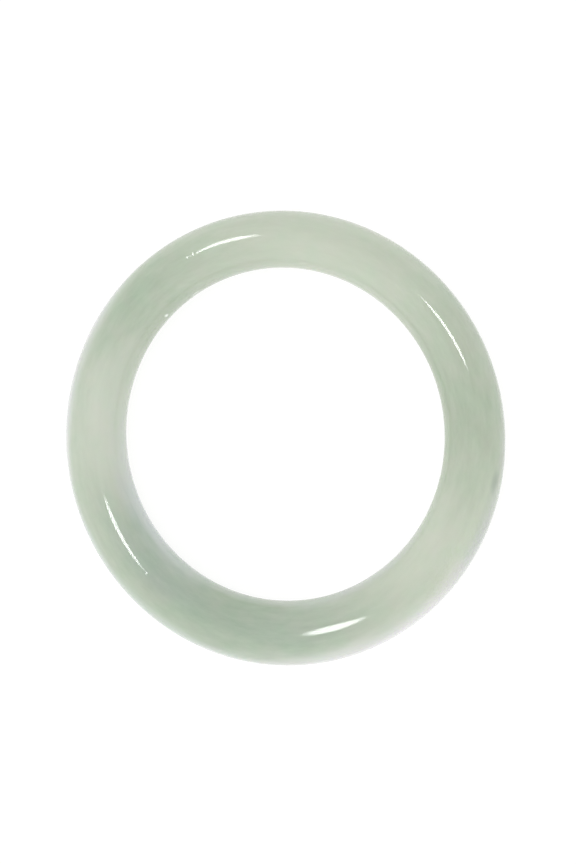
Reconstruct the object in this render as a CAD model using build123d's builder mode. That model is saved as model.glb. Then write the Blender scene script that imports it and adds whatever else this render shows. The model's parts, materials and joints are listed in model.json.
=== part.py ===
"""A one-piece jade finger ring, in millimetres.

The ring is a single stone: a rod, nearly round in section, that closes on itself. The bore was drilled a
little off the centre of the outer circle, so the wall is thinnest on the +Y side and thickest on the -Y
side. The outside is a full dome. The inside is eased for comfort: a short straight land, the true finger
size, runs out through rounded flares, a little deeper than the dome, to the narrow flat on each side, on
which the ring rests.

The origin is on the bore's axis, halfway across the band. +Z is the bore's axis.
"""
import os

from build123d import *

# Driving dimensions
bore_diameter = 17.3  # finger size, measured at the straight land
wall = 3.15  # stone between bore and outside, as the mean all the way round
bore_offset = 0.25  # how far the bore's axis lies from the outer circle's, towards the thin wall
band_width = 2.9  # from one side to the other, along the bore
land_width = 0.3  # straight stretch of the bore wall, along the bore
dome_depth = 1.3  # how far the dome's curve runs into the wall from the outside
least_side_flat = 0.05  # width of the flat on each side where the wall is thinnest

# Worked-out sizes
half_width = band_width / 2
bore_radius = bore_diameter / 2
outer_radius = bore_radius + wall
thinnest_wall = wall - abs(bore_offset)
flare_depth = thinnest_wall - least_side_flat - dome_depth  # how far each flare runs into the wall
dome_circle = outer_radius - dome_depth  # radius where the dome meets the side flats
flare_circle = bore_radius + flare_depth  # radius where the flares meet the side flats
half_land = land_width / 2
flare_height = half_width - half_land
upper_flare_centre = (flare_circle, half_land)
lower_flare_centre = (flare_circle, -half_land)

# The two profiles lie in upright planes, one through each axis
outer_plane = Plane.XZ.offset(bore_offset)
bore_plane = Plane.XZ

with BuildPart() as jade_ring:
    # The stone before drilling: a disc with a domed edge
    with BuildSketch(outer_plane):
        with BuildLine():
            Line((0, -half_width), (dome_circle, -half_width))
            EllipticalCenterArc((dome_circle, 0), dome_depth, half_width, start_angle=-90, arc_size=180)
            Polyline((dome_circle, half_width), (0, half_width), (0, -half_width))
        make_face()
    revolve(axis=Axis(outer_plane.origin, (0, 0, 1)))

    # The bore, its land and the flares that open it towards both sides
    with BuildSketch(bore_plane):
        with BuildLine():
            Line((0, -half_width), (flare_circle, -half_width))
            EllipticalCenterArc(lower_flare_centre, flare_depth, flare_height, start_angle=180, arc_size=90)
            Line((bore_radius, -half_land), (bore_radius, half_land))
            EllipticalCenterArc(upper_flare_centre, flare_depth, flare_height, start_angle=90, arc_size=90)
            Polyline((flare_circle, half_width), (0, half_width), (0, -half_width))
        make_face()
    revolve(axis=Axis(bore_plane.origin, (0, 0, 1)), mode=Mode.SUBTRACT)

jade_ring.part.label = "jade_ring"

os.makedirs("parts", exist_ok=True)
export_step(jade_ring.part, "parts/jade_ring.step")
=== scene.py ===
"""A polished finger ring of pale green jade, lying on its side on a white light table.

The frame is in metres. The ring's own sizes are written in millimetres and turned to metres with MM.
Angles round the ring are measured about the bore's axis, from +X towards +Y.
"""
import json
from math import cos, pi, radians, sin, sqrt

import bpy
from mathutils import Matrix, Vector


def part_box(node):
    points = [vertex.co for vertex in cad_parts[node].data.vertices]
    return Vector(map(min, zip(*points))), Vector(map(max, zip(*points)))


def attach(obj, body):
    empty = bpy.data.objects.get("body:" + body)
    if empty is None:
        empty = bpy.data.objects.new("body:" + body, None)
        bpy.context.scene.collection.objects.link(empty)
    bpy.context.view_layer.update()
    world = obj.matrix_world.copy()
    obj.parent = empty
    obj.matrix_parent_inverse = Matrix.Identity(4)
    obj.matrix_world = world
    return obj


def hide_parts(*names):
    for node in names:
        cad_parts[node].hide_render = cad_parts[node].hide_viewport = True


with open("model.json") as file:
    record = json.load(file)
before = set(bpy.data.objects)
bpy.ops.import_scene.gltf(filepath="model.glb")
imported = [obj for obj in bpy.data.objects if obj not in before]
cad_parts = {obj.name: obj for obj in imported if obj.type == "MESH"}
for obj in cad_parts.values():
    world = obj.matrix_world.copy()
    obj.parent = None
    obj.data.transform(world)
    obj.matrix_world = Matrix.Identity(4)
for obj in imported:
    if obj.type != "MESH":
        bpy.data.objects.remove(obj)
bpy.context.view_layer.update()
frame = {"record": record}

MM = 0.001

# The ring's sizes, read from the solid that this piece stands for
lowest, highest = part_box("jade_ring")
bore_mount = next(mount for mount in frame["record"]["mounts"] if mount["kind"] == "bore")
bore_radius = bore_mount["dims"]["r_mm"] * MM
outer_radius = (highest[0] - lowest[0]) / 2
bore_offset = -(highest[1] + lowest[1]) / 2
half_width = (highest[2] - lowest[2]) / 2
mean_radius = (bore_radius + outer_radius) / 2
table_height = lowest[2]
table_radius = 4.0

# Where hand cutting left the stone off true. Each angle is the ring angle at which that size is greatest
crest_outward = 0.178 * MM  # how far outside mid wall the crest of the dome lies, all round
crest_lean, crest_lean_angle = 0.258 * MM, -13  # further out on one side of the ring
crest_oval, crest_oval_angle = 0.049 * MM, -43  # and drawn out into an oval
face_wedge, face_wedge_angle = 0.052 * MM, -167  # the upper face is higher on one side of the ring
face_saddle, face_saddle_angle = 0.032 * MM, 88  # and rises at two places opposite each other

# The grid that the ring is made from
steps_round = 360
steps_across = 96

# The stone's markings, at their real sizes
fade_out = 1.4  # a cloud or flaw is gone at so many times its half sizes
drift_size = 1.5 * MM
drift_swing = (6 * MM, 1.6 * MM, 1 * MM)  # along the band, across it and up, from end to end
tint_size, tint_share = 1.2 * MM, 0.14
streak_width, streak_share = 0.3 * MM, 0.22
streak_length = 4  # in widths
sink = 0.7 * MM  # about how far light goes in the stone before it is turned aside
dimple_size = 0.5 * MM

# The depths and places of the polish's marks, in plain millimetres
dimple_depth = 0.0002
pit_depth = 0.002
pit_half_sizes = (0.08, 0.08, 0.3)
pits = [(142.6, 0.04, 1.45), (144.6, 0.02, 1.45), (255.4, -0.18, 1.4)]  # ring angle in degrees first

# The camera, at the photograph's angle to the ring
camera_distance = 85 * MM
camera_bearing = 39.74  # degrees from +X towards +Y
camera_height_angle = 73.43  # degrees above the table
camera_roll = -100.78
camera_lens = 68.24
image_width, image_height = 576, 864
bore_centre_x, bore_centre_y = 280.2, 435.1  # where the bore's centre falls in the image, in pixels

# Each lamp's two lights: name, metres back from the ring, size as a share of the lamp's, and brightness
lamp_lights = [("cloth", 1.0, 1.1, 3.2), ("middle", 0.97, 0.88, 4.8)]


def linear(colour):
    """An sRGB hex colour as linear red, green, blue and alpha."""
    parts = [int(colour[place:place + 2], 16) / 255 for place in (1, 3, 5)]
    return [part / 12.92 if part <= 0.04045 else ((part + 0.055) / 1.055) ** 2.4 for part in parts] + [1]


def add(tree, kind, inputs, **settings):
    """Adds a node with its settings, and sets or links each of its inputs."""
    node = tree.nodes.new(kind)
    for name, value in settings.items():
        setattr(node, name, value)
    for name, value in inputs.items():
        if isinstance(value, bpy.types.NodeSocket):
            tree.links.new(value, node.inputs[name])
        else:
            node.inputs[name].default_value = value
    return node


def new_material(name):
    """An empty material with nodes, and its node tree."""
    material = bpy.data.materials.new(name)
    material.use_nodes = True
    material.node_tree.nodes.clear()
    return material, material.node_tree


def within(tree, lay, middle, half_sizes, strength):
    """A socket that gives strength in the middle of a cloud or speck and falls to 0 outside it.

    middle is the ring angle, then the place across and above the middle of the wall. half_sizes run along
    the band, across it and up. All are in millimetres but the angle.
    """
    ring_angle, across, up = middle
    centre = (radians(ring_angle) * mean_radius, mean_radius + across * MM, up * MM)
    off = add(tree, "ShaderNodeVectorMath", {0: lay, 1: centre}, operation="SUBTRACT")

    # Wrapped so that it is measured the shorter way round the ring
    half_round = pi * mean_radius
    near = add(
        tree, "ShaderNodeVectorMath",
        {0: off.outputs[0], 1: (half_round, 1, 1), 2: (-half_round, -1, -1)},
        operation="WRAP",
    )
    sizes = [size * MM for size in half_sizes]
    inside = add(tree, "ShaderNodeVectorMath", {0: near.outputs[0], 1: sizes}, operation="DIVIDE")
    far = add(tree, "ShaderNodeVectorMath", {0: inside.outputs[0]}, operation="LENGTH")
    share = add(
        tree, "ShaderNodeMapRange",
        {"Value": far.outputs["Value"], "From Max": fade_out, "To Min": strength, "To Max": 0},
        interpolation_type="SMOOTHERSTEP",
    )
    return share.outputs[0]


def polished_nephrite():
    """Nephrite jade, cut and hand polished.

    Light sinks a millimetre or two into the stone before it comes back, so shadows are soft and the thin
    parts glow. The clear polish on top gives small sharp highlights. Milky, green and blue-green clouds lie
    along the band, and the felted fibres leave a faint streaky mottle. Along the rims, white and pale
    lavender tones are painted reflection of the bright table and wall, and darker grey tones on the outer
    rim are painted shade, where the rim mirrors shade on the table.
    """
    material, tree = new_material("polished_nephrite_jade")
    place = add(tree, "ShaderNodeTexCoord", {}).outputs["Object"]
    x, y, z = add(tree, "ShaderNodeSeparateXYZ", {0: place}).outputs
    angle = add(tree, "ShaderNodeMath", {0: y, 1: x}, operation="ARCTAN2")
    along = add(tree, "ShaderNodeMath", {0: angle.outputs[0], 1: mean_radius}, operation="MULTIPLY")
    flat = add(tree, "ShaderNodeCombineXYZ", {"X": x, "Y": y})
    reach = add(tree, "ShaderNodeVectorMath", {0: flat.outputs[0]}, operation="LENGTH").outputs["Value"]

    # The fibres lie along the band, so what varies with them is drawn out along it
    short = add(
        tree, "ShaderNodeVectorMath",
        {0: flat.outputs[0], "Scale": 1 / streak_length},
        operation="SCALE",
    )
    lifted = add(tree, "ShaderNodeCombineXYZ", {"Z": reach})
    joined = add(tree, "ShaderNodeVectorMath", {0: short.outputs[0], 1: lifted.outputs[0]}, operation="ADD")
    fibres = joined.outputs[0]

    # A slow drift pulls the clouds about, up to 3 mm along the band and 0.8 mm across it
    drift = add(
        tree, "ShaderNodeTexNoise",
        {"Vector": fibres, "W": z, "Scale": 1 / drift_size, "Detail": 3},
        noise_dimensions="4D",
    )
    centred = add(
        tree, "ShaderNodeVectorMath",
        {0: drift.outputs["Color"], 1: (0.5, 0.5, 0.5)},
        operation="SUBTRACT",
    )
    lay = add(tree, "ShaderNodeCombineXYZ", {"X": along.outputs[0], "Y": reach, "Z": z})
    drifted = add(
        tree, "ShaderNodeVectorMath",
        {0: centred.outputs[0], 1: drift_swing, 2: lay.outputs[0]},
        operation="MULTIPLY_ADD",
    )

    # Each cloud, and each painted rim tone: its middle, its half sizes, its colour and its strength
    clouds_and_painted_rim_light = [
        ((32, -0.3, 0.0), (6.5, 1.7, 2.4), "#9AA893", 0.9),
        ((62, -0.3, 0.0), (3.5, 1.6, 2.2), "#A4AD9B", 0.5),
        ((102, -0.1, 0.0), (8.5, 2.5, 2.6), "#C8CEC0", 0.86),
        ((163, 0.0, 0.0), (6.2, 1.1, 2.2), "#87A188", 0.8),
        ((206, -0.8, 0.0), (5.6, 2.0, 2.4), "#D2D6CC", 0.9),
        ((274, 0.1, 0.2), (8.0, 1.9, 2.4), "#90A490", 0.85),
        ((252, -0.5, 0.3), (6.0, 1.1, 2.2), "#92A39D", 0.68),
        ((302, -0.1, 0.2), (5.0, 1.4, 2.4), "#93A798", 0.66),
        ((353, 0.0, 0.0), (6.5, 2.2, 2.6), "#CCD1C3", 0.9),
        # Painted reflection: the white and pale lavender along the outer rim stand in for the bright table
        # and wall that the rim mirrors, and for light glowing through its thin edge
        ((321, 1.5, 0.1), (8.5, 0.9, 1.5), "#ECE7F1", 0.88),
        ((190, 1.5, 0.1), (7.5, 0.75, 1.6), "#E0DEE6", 0.88),
        ((255, 1.5, -0.3), (8.5, 0.7, 1.6), "#E4EBF6", 0.84),
        # Painted reflection on the bore's rim: paler where it mirrors the bright table inside the ring
        ((244, -1.5, -0.3), (8.5, 0.52, 1.6), "#D6D9E2", 0.72),
        ((325, -1.5, -0.3), (8.0, 0.5, 1.6), "#D0D0D6", 0.6),
        ((181, -1.0, 0.2), (2.5, 0.5, 1.2), "#C6D2C4", 0.4),
        # Painted shade: the darker grey and grey-lavender tones on the outer rim stand in for shade on the
        # table that the rim mirrors
        ((10, 1.55, 0.2), (4.5, 0.5, 1.6), "#A7AAB4", 0.4),
        ((50, 1.5, 0.0), (5.5, 0.6, 1.8), "#98A596", 0.3),
        ((135, 1.5, 0.0), (6.0, 0.6, 1.8), "#98A596", 0.35),
    ]
    colour = linear("#B1BCAB")
    for middle, half_sizes, shade, strength in clouds_and_painted_rim_light:
        share = within(tree, drifted.outputs[0], middle, half_sizes, strength)
        mixed = add(tree, "ShaderNodeMix", {0: share, 6: colour, 7: linear(shade)}, data_type="RGBA")
        colour = mixed.outputs[2]

    # Iron and felspar tint it in patches, greener in some and warmer in others
    patches = add(tree, "ShaderNodeTexNoise", {"Vector": place, "Scale": 1 / tint_size, "Detail": 2})
    tint = add(
        tree, "ShaderNodeMapRange",
        {"Value": patches.outputs["Fac"], "From Min": 0.35, "From Max": 0.65},
    )
    patch = add(
        tree, "ShaderNodeMix",
        {0: tint.outputs[0], 6: linear("#A8BEA1"), 7: linear("#C6BDB3")},
        data_type="RGBA",
    )
    tinted = add(
        tree, "ShaderNodeMix",
        {0: tint_share, 6: colour, 7: patch.outputs[2]},
        data_type="RGBA",
    )

    # The felted fibres show as a faint mottle of streaks
    mottle = add(
        tree, "ShaderNodeTexNoise",
        {"Vector": fibres, "W": z, "Scale": 1 / streak_width, "Detail": 4, "Roughness": 0.65},
        noise_dimensions="4D",
    )
    streaks = add(
        tree, "ShaderNodeMapRange",
        {"Value": mottle.outputs["Fac"], "From Min": 0.3, "From Max": 0.7, "To Max": streak_share},
    )
    streaked = add(
        tree, "ShaderNodeMix",
        {0: streaks.outputs[0], 6: tinted.outputs[2], 7: linear("#CFD8C8")},
        data_type="RGBA",
    )

    # A dark fleck in the stone at the rim, a pale speck on the bore's wall, and a painted highlight: a pale
    # line on the bore's wall that stands in for a glint there. Less light sinks in there, so they stay crisp
    flaws_and_painted_glint = [
        ((17.8, 1.27, 0.8), (0.65, 0.22, 0.35), "#7C8E7E", 0.45),
        ((163, -1.5, 0.4), (0.14, 0.2, 0.15), "#F4FAF2", 1.0),
        # Painted highlight: the glint on the bore's wall
        ((150, -1.5, 0.21), (0.45, 0.2, 0.08), "#E6EEE4", 0.9),
    ]
    colour = streaked.outputs[2]
    clearness = 1.0
    for middle, half_sizes, shade, strength in flaws_and_painted_glint:
        share = within(tree, lay.outputs[0], middle, half_sizes, strength)
        mixed = add(tree, "ShaderNodeMix", {0: share, 6: colour, 7: linear(shade)}, data_type="RGBA")
        left = add(tree, "ShaderNodeMath", {0: clearness, 1: share}, operation="SUBTRACT")
        colour, clearness = mixed.outputs[2], left.outputs[0]

    # Polishing leaves a very slight dimpling and a few pits. Heights are in millimetres here
    dimples = add(tree, "ShaderNodeTexNoise", {"Vector": place, "Scale": 1 / dimple_size, "Detail": 1})
    height = add(
        tree, "ShaderNodeMath",
        {0: dimples.outputs["Fac"], 1: dimple_depth},
        operation="MULTIPLY",
    )
    for middle in pits:
        pit = within(tree, lay.outputs[0], middle, pit_half_sizes, pit_depth)
        height = add(tree, "ShaderNodeMath", {0: height.outputs[0], 1: pit}, operation="SUBTRACT")
    bump = add(tree, "ShaderNodeBump", {"Strength": 1.0, "Distance": MM, "Height": height.outputs[0]})
    stone = add(
        tree, "ShaderNodeBsdfPrincipled",
        {
            "Base Color": colour,
            "Roughness": 0.04,
            "IOR": 1.61,
            "Subsurface Weight": clearness,
            "Subsurface Radius": (1.0, 1.1, 0.9),
            "Subsurface Scale": sink,
            "Normal": bump.outputs[0],
        },
        subsurface_method="RANDOM_WALK",
    )
    add(tree, "ShaderNodeOutputMaterial", {"Surface": stone.outputs[0]})
    return material


def opal_acrylic():
    """Opal acrylic sheet with a matted face, lit from below.

    Its own even glow makes it white without shine or shadow. Most of the light that falls on it goes down
    through it, so it throws little back on the ring. The matting leaves a faint grain 0.4 mm across.
    """
    material, tree = new_material("matted_opal_acrylic")
    place = add(tree, "ShaderNodeTexCoord", {}).outputs["Object"]
    grain = add(tree, "ShaderNodeTexNoise", {"Vector": place, "Scale": 1 / (0.4 * MM), "Detail": 3})
    tone = add(
        tree, "ShaderNodeMix",
        {0: grain.outputs["Fac"], 6: linear("#686866"), 7: linear("#6C6C6A")},
        data_type="RGBA",
    )
    sheet = add(
        tree, "ShaderNodeBsdfPrincipled",
        {
            "Base Color": tone.outputs[2],
            "Roughness": 0.9,
            "Emission Color": linear("#FFFFFF"),
            "Emission Strength": 0.88,
        },
    )
    add(tree, "ShaderNodeOutputMaterial", {"Surface": sheet.outputs[0]})
    return material


def new_object(name, points, faces, material):
    """A mesh object from points and faces, smooth, in the scene."""
    mesh = bpy.data.meshes.new(name)
    mesh.from_pydata(points, [], faces)
    mesh.shade_smooth()
    mesh.materials.append(material)
    made = bpy.data.objects.new(name, mesh)
    bpy.context.scene.collection.objects.link(made)
    return made


def swell(size, angle, times, turn):
    """A size that comes and goes so many times round the ring, and is greatest at its angle."""
    return size * cos(times * (turn - radians(angle)))


def ring_point(turn, around):
    """A point on the stone: turn is the angle round the ring, around the angle round its section.

    The underside is cut true, so that the ring lies flat on the table.
    """
    # The outside is a circle whose centre lies bore_offset from the bore's, towards -Y
    outer_reach = sqrt(outer_radius**2 - (bore_offset * cos(turn)) ** 2) - bore_offset * sin(turn)
    half_wall = (outer_reach - bore_radius) / 2
    middle = (outer_reach + bore_radius) / 2
    lean = swell(crest_lean, crest_lean_angle, 1, turn)
    oval = swell(crest_oval, crest_oval_angle, 2, turn)
    reach = middle + half_wall * cos(around) + (crest_outward + lean + oval) * sin(around) ** 2
    height = half_width
    if sin(around) > 0:
        height += swell(face_wedge, face_wedge_angle, 1, turn)
        height += swell(face_saddle, face_saddle_angle, 2, turn)
    return reach * cos(turn), reach * sin(turn), height * sin(around)


def make_ring():
    """The ring as one closed grid, fine enough for its highlights to run smooth."""
    points = []
    faces = []
    for i in range(steps_round):
        here = i * steps_across
        beyond = (i + 1) % steps_round * steps_across
        for j in range(steps_across):
            above = (j + 1) % steps_across
            points.append(ring_point(2 * pi * i / steps_round, 2 * pi * j / steps_across))
            faces.append((here + j, beyond + j, beyond + above, here + above))
    ring = new_object("polished_jade_ring", points, faces, polished_nephrite())
    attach(ring, "root")
    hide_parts("jade_ring")


def make_table():
    """The round top of the light table, so wide that a low view doesn't reach its edge."""
    sides = 96
    rim = []
    for i in range(sides):
        turn = 2 * pi * i / sides
        rim.append((table_radius * cos(turn), table_radius * sin(turn), table_height))
    table = new_object("light_table", rim, [range(sides)], opal_acrylic())


def make_camera():
    """Looks at the bore's centre, which the shift then puts where the photograph has it."""
    data = bpy.data.cameras.new("camera")
    data.lens = camera_lens
    data.clip_start = 5 * MM
    data.shift_x = (image_width / 2 - bore_centre_x) / image_height
    data.shift_y = (bore_centre_y - image_height / 2) / image_height
    camera = bpy.data.objects.new("camera", data)
    bpy.context.scene.collection.objects.link(camera)
    turned = Matrix.Rotation(radians(camera_bearing + 90), 4, "Z")
    tipped = Matrix.Rotation(radians(90 - camera_height_angle), 4, "X")
    rolled = Matrix.Rotation(radians(camera_roll), 4, "Z")
    camera.matrix_world = turned @ tipped @ rolled @ Matrix.Translation((0, 0, camera_distance))
    bpy.context.scene.camera = camera
    return camera


def make_lamp(name, camera, sideways, upward, turned, half_length, half_breadth):
    """An oval lamp behind the camera, level with the picture's plane and one metre back from the ring.

    sideways and upward are its place in the camera's view, in metres like its half sizes, and turned is the
    angle of its long side there, in degrees. Its cloth glows over its whole face and more in its middle, so
    its reflections have soft edges. The middle is a light of its own, a little nearer than the cloth.
    """
    level = camera.matrix_world.to_3x3()
    for part, distance, share, brightness in lamp_lights:
        data = bpy.data.lights.new(f"{name}_{part}", "AREA")
        data.shape = "ELLIPSE"
        data.size = 2 * half_length * share
        data.size_y = 2 * half_breadth * share
        data.energy = brightness * pi * data.size * data.size_y
        light = bpy.data.objects.new(data.name, data)
        light.visible_camera = False
        bpy.context.scene.collection.objects.link(light)
        light.matrix_world = (
            Matrix.Translation(level @ Vector((sideways, upward, 1)) * distance)
            @ level.to_4x4()
            @ Matrix.Rotation(radians(turned), 4, "Z")
        )


def make_room():
    """Plain soft white light from all round, stronger from the white wall on the -Y side.

    It turns from the weaker to the stronger in the middle of the room, over the directions whose Y is
    between turn_from and turn_to. Behind the table a low view shows it plain white.
    """
    weaker = (0.86, 0.86, 0.86, 1)
    stronger = (1.16, 1.16, 1.16, 1)
    turn_from, turn_to = 0.7, -0.7
    world = bpy.data.worlds.new("studio")
    world.use_nodes = True
    tree = world.node_tree
    tree.nodes.clear()
    direction = add(tree, "ShaderNodeTexCoord", {}).outputs["Generated"]
    axes = add(tree, "ShaderNodeSeparateXYZ", {0: direction})
    side = add(
        tree, "ShaderNodeMapRange",
        {"Value": axes.outputs["Y"], "From Min": turn_from, "From Max": turn_to},
        interpolation_type="SMOOTHSTEP",
    )
    light = add(tree, "ShaderNodeMix", {0: side.outputs[0], 6: weaker, 7: stronger}, data_type="RGBA")
    seen = add(tree, "ShaderNodeLightPath", {}).outputs["Is Camera Ray"]
    shown = add(
        tree, "ShaderNodeMix",
        {0: seen, 6: light.outputs[2], 7: linear("#FFFFFF")},
        data_type="RGBA",
    )
    soft = add(tree, "ShaderNodeBackground", {"Color": shown.outputs[2], "Strength": 1.0})
    add(tree, "ShaderNodeOutputWorld", {"Surface": soft.outputs[0]})
    bpy.context.scene.world = world


make_ring()
make_table()
camera = make_camera()
make_lamp(
    "side_lamp", camera,
    sideways=-0.762, upward=0.234, turned=-67,
    half_length=0.15, half_breadth=0.073,
)
make_lamp(
    "overhead_lamp", camera,
    sideways=-0.219, upward=0.087, turned=0,
    half_length=0.117, half_breadth=0.066,
)
make_room()

# The table reaches full white in the picture
bpy.context.scene.view_settings.view_transform = "Standard"
